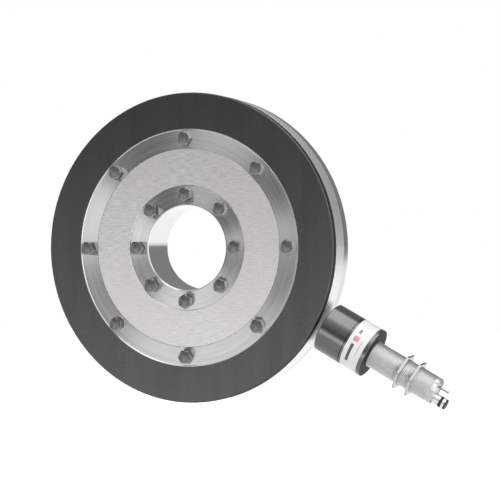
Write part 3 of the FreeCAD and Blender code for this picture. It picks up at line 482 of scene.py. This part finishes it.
def barrel():
    grid = bmesh.new()
    root = BARREL_RADIUS - BARREL_THREAD_DEPTH
    angles = even_angles(BARREL_COLUMNS)
    # the bore, the collar and the plain part up to the thread
    back = [(BARREL_BORE_RADIUS, SOCKET_FLOOR), (BARREL_BORE_RADIUS, BARREL_START),
            (BARREL_COLLAR_RADIUS, BARREL_START), (BARREL_COLLAR_RADIUS, COLLAR_END),
            (BARREL_RADIUS, COLLAR_END), (BARREL_RADIUS, THREAD_START), (root, THREAD_START)]
    joined_rings(grid, [ring(grid, radius, angles, along, on_pickup) for radius, along in back])
    thread_surface(grid, THREAD_START, THREAD_END, BARREL_PITCH, BARREL_RADIUS, BARREL_THREAD_DEPTH,
                   BARREL_COLUMNS, on_pickup)
    # the wall of the nose stops at both flat sides of the notch, and the notch has a flat floor
    notch_floor = BARREL_END - NOTCH_DEPTH
    outer_floor = nose_ring(grid, RELIEF_RADIUS, notch_floor)
    inner_floor = nose_ring(grid, SOCKET_RADIUS, notch_floor)
    joined_rings(grid, [nose_ring(grid, root, THREAD_END), nose_ring(grid, RELIEF_RADIUS, THREAD_END),
                        outer_floor])
    joined_rings(grid, [inner_floor, nose_ring(grid, SOCKET_RADIUS, SOCKET_FLOOR),
                        nose_ring(grid, BARREL_BORE_RADIUS, SOCKET_FLOOR)])
    section = [
        outer_floor,
        nose_ring(grid, RELIEF_RADIUS, RELIEF_END),
        nose_ring(grid, NOSE_RADIUS, RELIEF_END),
        nose_ring(grid, NOSE_RADIUS, BARREL_END - NOSE_CHAMFER),
        nose_ring(grid, NOSE_RADIUS - NOSE_CHAMFER, BARREL_END),
        nose_ring(grid, SOCKET_RADIUS, BARREL_END),
        inner_floor,
    ]
    kept = NOSE_COLUMNS + 1
    joined_rings(grid, [line[:kept] for line in section], closed=False)
    grid.faces.new([line[0] for line in section])
    grid.faces.new([line[kept - 1] for line in section])
    floor_columns = list(range(NOSE_COLUMNS, NOSE_COLUMNS + NOTCH_COLUMNS)) + [0]
    joined_rings(grid, [[line[index] for index in floor_columns] for line in (inner_floor, outer_floor)],
                 closed=False)
    # above the floor of the notch the columns of the gap carry no faces
    loose = [vert for vert in grid.verts if not vert.link_faces]
    bmesh.ops.delete(grid, geom=loose, context="VERTS")
    tidy_mesh(grid)
    smooth_by_angle(grid, BARREL_SMOOTH)
    piece = new_piece("barrel_thread", grid)
    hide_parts("threaded_barrel")
    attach(piece, "pickup")
    return piece


def jam_nut(name, node, body, place_along):
    # a hexagon nut with both faces and both mouths of its hole chamfered
    grid = bmesh.new()
    angles = even_angles(NUT_COLUMNS)

    def place(radius, angle, along):
        return on_pickup(radius, angle, place_along + along)

    def mirrored(radius, angle, along):
        return on_pickup(radius, angle, place_along + NUT_THICKNESS - along)

    mouth = NUT_BORE_RADIUS + NUT_MOUTH
    rings = [
        ring(grid, NUT_BORE_RADIUS, angles, NUT_MOUTH, place),
        ring(grid, mouth, angles, 0.0, place),
        ring(grid, NUT_FACE_RADIUS, angles, 0.0, place),
        hexagon_ring(grid, angles, NUT_FLATS, NUT_TURN, 0.0, NUT_FACE_RADIUS, -NUT_CORNER_SLOPE, place),
        hexagon_ring(grid, angles, NUT_FLATS, NUT_TURN, 0.0, NUT_FACE_RADIUS, -NUT_CORNER_SLOPE, mirrored),
        ring(grid, NUT_FACE_RADIUS, angles, 0.0, mirrored),
        ring(grid, mouth, angles, 0.0, mirrored),
        ring(grid, NUT_BORE_RADIUS, angles, NUT_MOUTH, mirrored),
    ]
    joined_rings(grid, rings + rings[:1])
    tidy_mesh(grid)
    smooth_by_angle(grid, NUT_SMOOTH)
    piece = new_piece(name, grid)
    soften_edges(piece, NUT_EDGE)
    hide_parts(node)
    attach(piece, body)
    return piece


# Materials and world

class Tree:
    # short names for the nodes that the materials and the world share
    def __init__(self, tree):
        self.tree = tree
        tree.nodes.clear()

    def make(self, kind, **settings):
        made = self.tree.nodes.new(kind)
        for key, value in settings.items():
            setattr(made, key, value)
        return made

    def feed(self, socket, value):
        if isinstance(value, bpy.types.NodeSocket):
            self.tree.links.new(value, socket)
        elif value is not None:
            socket.default_value = value

    def math(self, operation, first, second=None):
        made = self.make("ShaderNodeMath", operation=operation)
        for socket, value in zip(made.inputs, (first, second)):
            self.feed(socket, value)
        return made.outputs[0]

    def times(self, first, second):
        return self.math("MULTIPLY", first, second)

    def degrees(self, angle):
        return self.times(angle, DEGREES)

    def vector(self, operation, first, second=None, output="Vector"):
        made = self.make("ShaderNodeVectorMath", operation=operation)
        self.feed(made.inputs[0], first)
        self.feed(made.inputs[1], second)
        return made.outputs[output]

    def length(self, vector):
        return self.vector("LENGTH", vector, output="Value")

    def dot(self, vector, direction):
        return self.vector("DOT_PRODUCT", vector, tuple(direction), output="Value")

    def combine(self, x, y, z):
        made = self.make("ShaderNodeCombineXYZ")
        for socket, value in zip(made.inputs, (x, y, z)):
            self.feed(socket, value)
        return made.outputs[0]

    def split(self, vector):
        made = self.make("ShaderNodeSeparateXYZ")
        self.feed(made.inputs[0], vector)
        return made.outputs[0], made.outputs[1], made.outputs[2]

    def noise(self, vector, scale=1.0, detail=2.0, roughness=0.5):
        made = self.make("ShaderNodeTexNoise")
        self.feed(made.inputs["Vector"], vector)
        self.feed(made.inputs["Scale"], scale)
        self.feed(made.inputs["Detail"], detail)
        self.feed(made.inputs["Roughness"], roughness)
        return made.outputs["Fac"]

    def remap(self, value, from_low, from_high, to_low=0.0, to_high=1.0, smooth=False):
        made = self.make("ShaderNodeMapRange", interpolation_type="SMOOTHSTEP" if smooth else "LINEAR")
        for socket, number in zip(made.inputs, (value, from_low, from_high, to_low, to_high)):
            self.feed(socket, number)
        return made.outputs["Result"]

    def stretched(self, noise, low=0.0, high=1.0):
        # a noise over its usual range
        return self.remap(noise, *NOISE_RANGE, low, high)

    def past(self, value, edge):
        # 0 up to an edge and 1 beyond it
        return self.remap(value, edge, edge + EDGE_BLUR)

    def within(self, value, low, high, blur):
        # 1 between two edges and 0 outside them
        return self.times(self.remap(value, low, low + blur),
                          self.remap(value, high - blur, high, 1.0, 0.0))

    def softly_past(self, value, edge, soft):
        return self.remap(value, edge - soft, edge + soft, smooth=True)

    def softly_within(self, value, low, high, soft):
        return self.times(self.softly_past(value, low, soft),
                          self.remap(value, high - soft, high + soft, 1.0, 0.0, smooth=True))

    def blend(self, share, first, second):
        made = self.make("ShaderNodeMix", data_type="RGBA", blend_type="MIX")
        self.feed(made.inputs["Factor"], share)
        self.feed(made.inputs["A"], shade(first))
        self.feed(made.inputs["B"], shade(second))
        return made.outputs["Result"]

    def bump(self, height, distance, strength=1.0):
        made = self.make("ShaderNodeBump")
        self.feed(made.inputs["Height"], height)
        self.feed(made.inputs["Distance"], distance)
        self.feed(made.inputs["Strength"], strength)
        return made.outputs["Normal"]

    def object_place(self):
        return self.make("ShaderNodeTexCoord").outputs["Object"]

    def by_ray(self, others, camera):
        # one shader for the camera's own rays and another for all other rays
        seen = self.make("ShaderNodeLightPath").outputs["Is Camera Ray"]
        made = self.make("ShaderNodeMixShader")
        for socket, value in zip(made.inputs, (seen, others, camera)):
            self.feed(socket, value)
        return made.outputs[0]


def shade(value):
    # a grey number or an (r, g, b) becomes a colour; a socket passes
    if isinstance(value, bpy.types.NodeSocket):
        return value
    if isinstance(value, (int, float)):
        return (value, value, value, 1.0)
    return (*value, 1.0)


class Finish(Tree):
    # one material: the shader's numbers come first, and textures are linked over them
    def __init__(self, name, colour, roughness, metallic=0.0, **numbers):
        self.material = bpy.data.materials.new(name)
        self.material.use_nodes = True
        super().__init__(self.material.node_tree)
        self.shader = self.make("ShaderNodeBsdfPrincipled")
        output = self.make("ShaderNodeOutputMaterial")
        self.feed(output.inputs["Surface"], self.shader.outputs[0])
        self.put("Base Color", shade(colour))
        self.put("Roughness", roughness)
        self.put("Metallic", metallic)
        for key, value in numbers.items():
            self.put(key.replace("_", " "), value)

    def put(self, name, value):
        self.feed(self.shader.inputs[name], value)


def turned_steel():
    # fine concentric lines; the direction from the axis enters as two numbers, so there is no seam
    paint = Finish("turned_steel", **STEEL_BASE)
    flat = paint.vector("MULTIPLY", paint.object_place(), FLAT)
    radius = paint.length(flat)
    direction = paint.split(paint.vector("NORMALIZE", flat))
    across, up = direction[0], direction[2]
    fine = paint.noise(paint.combine(paint.times(radius, FINE_LINES), across, up), 1.0, *LINE_DETAIL)
    wide = paint.noise(paint.combine(paint.times(radius, WIDE_LINES), paint.times(across, WIDE_SWEEP),
                                     paint.times(up, WIDE_SWEEP)))
    both = paint.math("ADD", paint.times(fine, FINE_SHARE), paint.times(wide, WIDE_SHARE))
    turned = paint.blend(paint.stretched(both), STEEL_DARK, STEEL_LIGHT)
    # the bore is ground paler and smoother than the turned faces, its chamfers are darker, and the rim
    # is paler and duller
    in_bore = paint.remap(radius, BORE_EDGE, BORE_EDGE + EDGE_BLUR, 1.0, 0.0)
    on_chamfer = paint.times(in_bore, paint.past(radius, BORE_WALL))
    on_rim = paint.past(radius, RIM_START)
    tone = paint.blend(on_chamfer, paint.blend(in_bore, turned, BORE_STEEL), CHAMFER_STEEL)
    paint.put("Base Color", paint.blend(on_rim, tone, RIM_STEEL))
    rough = paint.math("ADD", paint.times(on_rim, RIM_DULLNESS), paint.stretched(both, *STEEL_GLOSS))
    paint.put("Roughness", paint.math("SUBTRACT", rough, paint.times(in_bore, BORE_GLOSS)))
    # the faces mirror as if they sloped away from the axis
    cone = paint.times(radius, -TURNED_TILT)
    paint.put("Normal", paint.bump(paint.math("ADD", cone, paint.times(fine, STEEL_RELIEF)), 1.0))
    tangent = paint.make("ShaderNodeTangent", direction_type="RADIAL", axis="Y")
    paint.put("Tangent", tangent.outputs[0])
    return paint.material


def cover_steel():
    # a flat plate, brushed from side to side, with a fine grain
    paint = Finish("cover_steel", **COVER_BASE)
    place = paint.object_place()
    x, y, z = paint.split(place)
    lines = paint.noise(paint.combine(paint.times(x, COVER_ALONG), y, paint.times(z, COVER_ACROSS)), 1.0,
                        *LINE_DETAIL)
    grain = paint.noise(place, COVER_GRAIN, *COVER_DETAIL)
    cloud = paint.noise(place, COVER_CLOUDS)
    both = paint.math("ADD", paint.times(lines, LINE_SHARE), paint.times(grain, GRAIN_SHARE))
    plain = paint.blend(paint.remap(both, *LINE_RANGE), COVER_DARK, COVER_LIGHT)
    warm = paint.remap(cloud, *CLOUD_RANGE, 0.0, CLOUD_SHARE)
    paint.put("Base Color", paint.blend(warm, plain, COVER_WARM))
    paint.put("Roughness", paint.stretched(both, *COVER_GLOSS))
    paint.put("Normal", paint.bump(both, COVER_RELIEF, COVER_BUMP))
    return paint.material


def dark_metal(name, colour, roughness, stretch, spread, shade_from=None, shade_outside=None):
    # satin dark finish with a faint mottle, drawn out where stretch is uneven; behind a distance along the
    # pickup, or outside a radius of the disc, painted shade colours the surface near-black and it is made
    # matt
    paint = Finish(name, colour, roughness, metallic=DARK_METALLIC)
    place = paint.object_place()
    mottle = paint.noise(paint.combine(*map(paint.times, paint.split(place), stretch)))
    grain = paint.noise(place, DARK_GRAIN, 1.0)
    lighter = tuple(part * (1.0 + spread) for part in colour)
    darker = tuple(part * (1.0 - spread) for part in colour)
    tone = paint.blend(paint.stretched(mottle), darker, lighter)
    worn = paint.stretched(grain, roughness - DARK_GLOSS_SPREAD, roughness + DARK_GLOSS_SPREAD)
    painted_shade = None
    if shade_from is not None:
        painted_shade = paint.past(paint.dot(place, ALONG), shade_from)
    if shade_outside is not None:
        painted_shade = paint.past(paint.length(paint.vector("MULTIPLY", place, FLAT)), shade_outside)
    # painted shade: near-black colour and more roughness where the flange's rear face and the black ring's
    # outer side lie in shade
    if painted_shade is not None:
        tone = paint.blend(painted_shade, tone, SHADE_BLACK)
        worn = paint.math("ADD", worn, paint.times(painted_shade, MATT_ROUGHNESS))
    paint.put("Base Color", tone)
    paint.put("Roughness", worn)
    paint.put("Normal", paint.bump(grain, DARK_RELIEF, DARK_BUMP))
    return paint.material


def plain_finish(name, colour, roughness, metallic=0.0, grain_scale=900.0, spread=0.12, relief=0.000015):
    # an even colour with a fine grain in tone, gloss and relief
    paint = Finish(name, colour, roughness, metallic=metallic)
    grain = paint.noise(paint.object_place(), grain_scale, *GRAIN_DETAIL)
    darker = tuple(part * (1.0 - spread) for part in colour)
    lighter = tuple(min(1.0, part * (1.0 + spread)) for part in colour)
    paint.put("Base Color", paint.blend(paint.stretched(grain), darker, lighter))
    paint.put("Roughness", paint.stretched(grain, *[roughness * share for share in GLOSS_SHARES]))
    paint.put("Normal", paint.bump(grain, relief, GRAIN_BUMP))
    return paint.material


def wound_copper():
    # fine turns of enamelled wire
    paint = Finish("coil_copper", **COPPER_BASE)
    place = paint.object_place()
    radius = paint.length(paint.vector("MULTIPLY", place, FLAT))
    depth = paint.split(place)[1]
    turns = paint.math("SINE", paint.times(paint.math("ADD", radius, depth), COPPER_TURNS))
    paint.put("Base Color", paint.blend(paint.noise(place, COPPER_CLOUDS), COPPER_DARK, COPPER_LIGHT))
    paint.put("Normal", paint.bump(turns, COPPER_RELIEF, COPPER_BUMP))
    return paint.material


def label_finish():
    # white wrap with plain colour fields where the print sits, and no lettering
    paint = Finish("label_white", **LABEL_BASE)
    place = paint.object_place()
    along, side, up = [paint.dot(place, axis) for axis in (ALONG, SIDE, UP)]
    turn = paint.degrees(paint.math("ARCTAN2", up, side))
    grain = paint.noise(place, LABEL_GRAIN)
    tone = paint.blend(paint.stretched(grain), LABEL_DARK, LABEL_LIGHT)
    for front, back, low, high, colour in LABEL_FIELDS:
        field = paint.times(paint.within(along, front, back, EDGE_BLUR),
                            paint.within(turn, low, high, FIELD_BLUR))
        tone = paint.blend(field, tone, colour)
    paint.put("Base Color", tone)
    paint.put("Roughness", paint.stretched(grain, *LABEL_GLOSS))
    return paint.material


def studio(world):
    # bright room with a wheel of soft cards in front of the disc; the camera itself sees plain white
    sky = Tree(world.node_tree)
    direction = sky.make("ShaderNodeTexCoord").outputs["Generated"]
    x, y, z = sky.split(direction)
    azimuth = sky.degrees(sky.math("ARCTAN2", x, sky.times(y, -1.0)))
    elevation = sky.degrees(sky.math("ARCSINE", z))
    behind = sky.remap(y, *BEHIND_RANGE, smooth=True)
    light = sky.blend(sky.remap(elevation, *HORIZON_RANGE, smooth=True),
                      sky.blend(behind, FRONT_LOW, BACK_LOW), sky.blend(behind, FRONT_HIGH, BACK_HIGH))
    for left, right, bottom, top, soft, strength in PANELS:
        panel = sky.times(sky.softly_within(azimuth, left, right, soft),
                          sky.softly_within(elevation, bottom, top, soft))
        light = sky.blend(panel, light, strength)
    turn = sky.degrees(sky.math("ARCTAN2", z, sky.dot(direction, WHEEL_ACROSS)))
    wheel = WHEEL_START
    for edge, soft, strength in WHEEL_CARDS:
        wheel = sky.blend(sky.softly_past(turn, edge, soft), wheel, strength)
    away = sky.degrees(sky.math("ARCCOSINE", sky.dot(direction, WHEEL_MIDDLE)))
    light = sky.blend(sky.softly_past(away, WHEEL_OUTER, WHEEL_BLUR), wheel, light)
    middle = sky.remap(elevation, MIDDLE_BOTTOM, MIDDLE_TOP, MIDDLE_LOW, MIDDLE_HIGH)
    light = sky.blend(sky.softly_past(away, WHEEL_INNER, WHEEL_BLUR),
                      sky.combine(middle, middle, middle), light)
    room = sky.make("ShaderNodeBackground")
    sky.feed(room.inputs["Color"], light)
    white = sky.make("ShaderNodeBackground")
    sky.feed(white.inputs["Color"], shade(1.0))
    output = sky.make("ShaderNodeOutputWorld")
    sky.feed(output.inputs["Surface"], sky.by_ray(room.outputs[0], white.outputs[0]))


def pale_floor():
    # a wide pale floor that only the camera sees
    grid = bmesh.new()
    bmesh.ops.create_grid(grid, x_segments=1, y_segments=1, size=FLOOR_HALF)
    bmesh.ops.translate(grid, verts=grid.verts, vec=(0.0, 0.0, FLOOR_HEIGHT))
    floor = new_piece("floor", grid)
    material = bpy.data.materials.new("floor_pale")
    material.use_nodes = True
    floor.data.materials.append(material)
    paint = Tree(material.node_tree)
    matt = paint.make("ShaderNodeBsdfDiffuse")
    paint.feed(matt.inputs["Color"], shade(FLOOR_COLOUR))
    glow = paint.make("ShaderNodeEmission")
    paint.feed(glow.inputs["Strength"], FLOOR_GLOW)
    both = paint.make("ShaderNodeAddShader")
    paint.feed(both.inputs[0], matt.outputs[0])
    paint.feed(both.inputs[1], glow.outputs[0])
    clear = paint.make("ShaderNodeBsdfTransparent")
    output = paint.make("ShaderNodeOutputMaterial")
    paint.feed(output.inputs["Surface"], paint.by_ray(clear.outputs[0], both.outputs[0]))


def wear(node, material):
    # every slot of a carried-over solid takes the one finish
    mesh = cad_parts[node].data
    mesh.materials.clear()
    mesh.materials.append(material)


# Making

outer = bolt_circle("outer_bolt_heads", "outer_bolts", OUTER_CIRCLE_RADIUS, FLANGE_FACE, RIM_REAR,
                    OUTER_BOLT_TURNS)
inner = bolt_circle("inner_bolt_heads", "inner_bolts", INNER_CIRCLE_RADIUS, HUB_FACE, HUB_REAR,
                    INNER_BOLT_TURNS)
tube = barrel()
front_nut = jam_nut("front_nut_dressed", "front_jam_nut", "front_nut", FRONT_NUT_PLACE)
rear_nut = jam_nut("rear_nut_dressed", "rear_jam_nut", "rear_nut", REAR_NUT_PLACE)

finishes = {name: plain_finish(name, **numbers) for name, numbers in PLAIN_FINISHES.items()}
finishes.update((name, dark_metal(name, **numbers)) for name, numbers in DARK_FINISHES.items())
finishes.update(turned_steel=turned_steel(), cover_steel=cover_steel(), coil_copper=wound_copper(),
                label_white=label_finish())
for piece, names in ((outer, ("bolt_steel", "bolt_face")), (inner, ("bolt_steel", "bolt_face")),
                     (tube, ("barrel_nickel",)), (front_nut, ("nut_nickel",)), (rear_nut, ("nut_nickel",))):
    for name in names:
        piece.data.materials.append(finishes[name])
for node, name in WORN.items():
    wear(node, finishes[name])

scene = bpy.context.scene
world = bpy.data.worlds.new("studio")
world.use_nodes = True
scene.world = world
studio(world)
pale_floor()

camera_data = bpy.data.cameras.new("camera")
camera_data.lens = LENS
camera_data.shift_x, camera_data.shift_y = CAMERA_SHIFT
camera = bpy.data.objects.new("camera", camera_data)
camera.location = CAMERA_PLACE
camera.rotation_euler = CAMERA_TURN
scene.collection.objects.link(camera)
scene.camera = camera
scene.view_settings.view_transform = "Standard"
